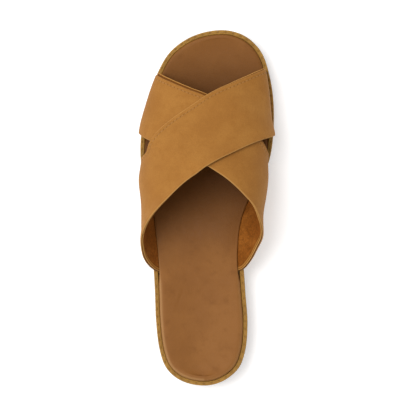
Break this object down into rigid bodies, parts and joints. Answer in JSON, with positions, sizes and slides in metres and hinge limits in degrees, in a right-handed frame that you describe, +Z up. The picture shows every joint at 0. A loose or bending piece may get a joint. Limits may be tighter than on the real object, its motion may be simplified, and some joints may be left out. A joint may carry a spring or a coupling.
{
  "type": "cross strap sandal",
  "caption": "Left slip-on sandal with two wide leather straps crossing over the instep, a padded footbed, a stitched welt and a low rubber sole.",
  "frame": {"origin": "on the floor, under the middle of the shoe's box", "axes": "+Y from heel to toe, +X to the inner side of the foot, +Z up"},
  "size_m": [0.0964, 0.255, 0.0721],
  "materials": {
    "rubber_sole": "matt moulded rubber with wavy tread grooves",
    "midsole": "mustard leather-look wrap, matt",
    "welt": "mustard welt strip with a tonal stitch row",
    "footbed_leather": "smooth brown leather, slightly satin",
    "strap_leather": "tan nubuck with a fine nap, matt"
  },
  "bodies": {
    "root": {"outsole": "rubber_sole", "midsole": "midsole", "welt": "welt", "footbed": "footbed_leather", "upper": "strap_leather"}
  },
  "joints": []
}
